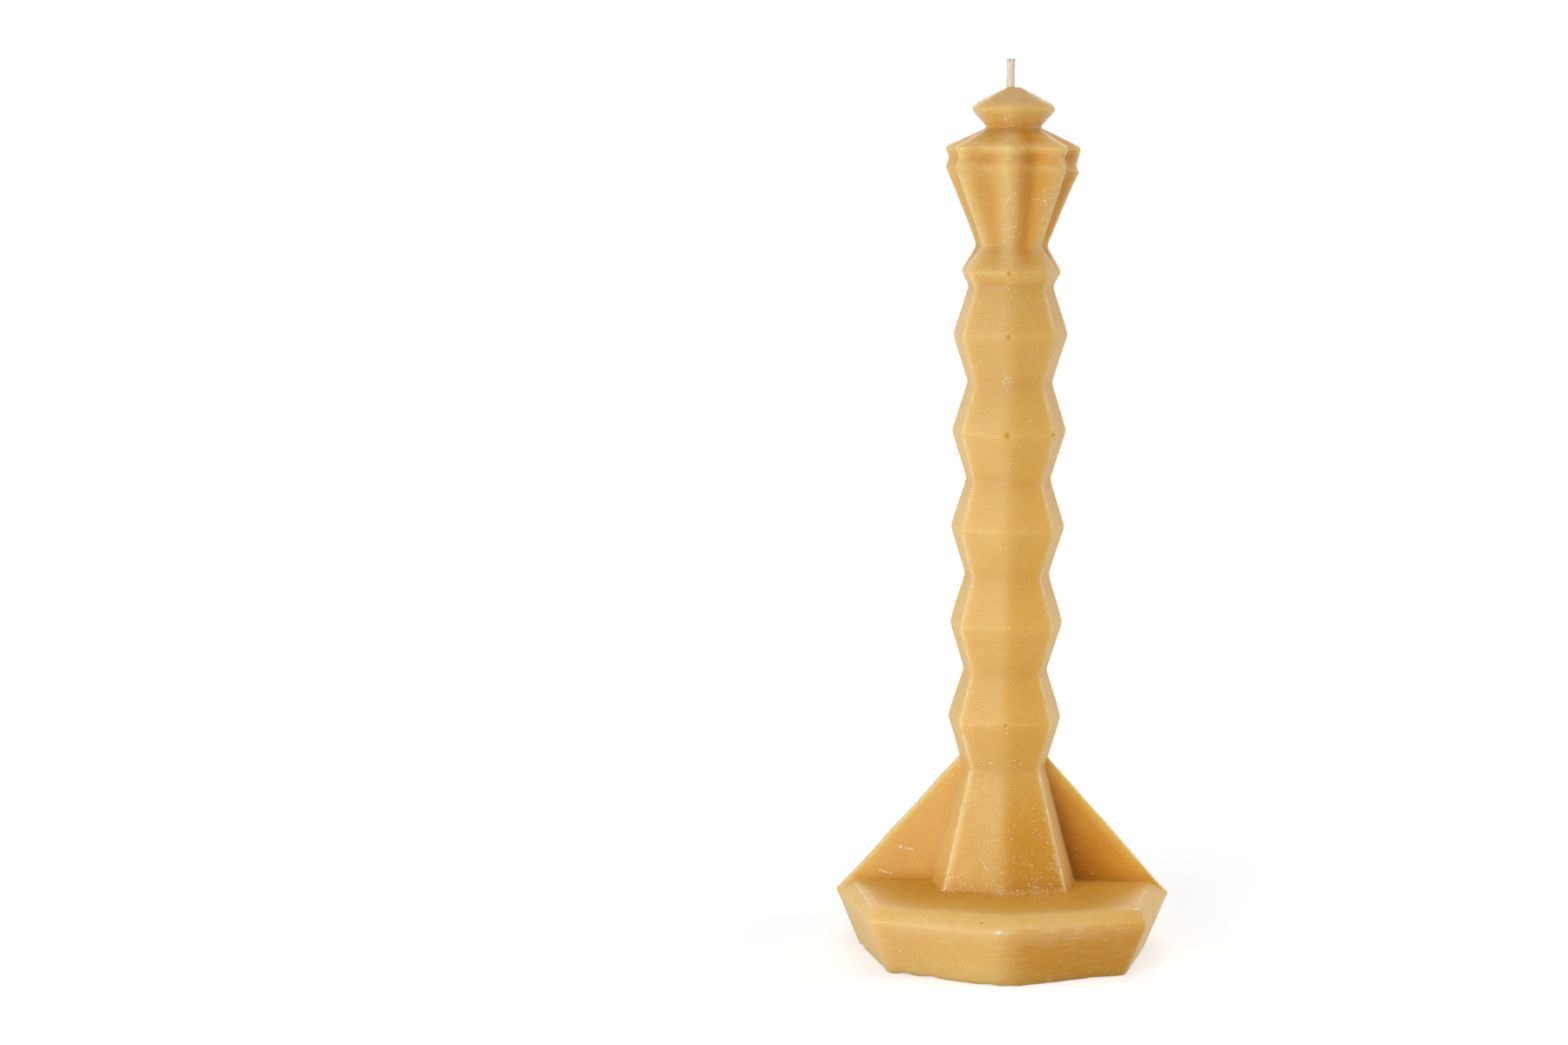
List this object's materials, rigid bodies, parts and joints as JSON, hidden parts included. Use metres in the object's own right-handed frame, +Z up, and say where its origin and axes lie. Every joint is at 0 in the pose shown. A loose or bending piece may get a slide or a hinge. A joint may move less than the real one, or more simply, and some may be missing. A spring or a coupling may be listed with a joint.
{
  "type": "geometric candle",
  "caption": "Free-standing faceted beeswax candle: broad flat base with side fins, beaded stem, fluted crown and pointed cap, cast around a cotton wick.",
  "frame": {"origin": "middle of the underside, on the table", "axes": "+Z up along the stem, fins along +X and -X, pictured front towards -Y"},
  "size_m": [0.0758, 0.0758, 0.2001],
  "materials": {
    "beeswax": "satin translucent beeswax with fine horizontal layer lines from a printed pattern",
    "cotton": "undyed braided cotton, primed with wax"
  },
  "bodies": {
    "root": {"wax_body": "beeswax", "wick": "cotton"}
  },
  "joints": []
}
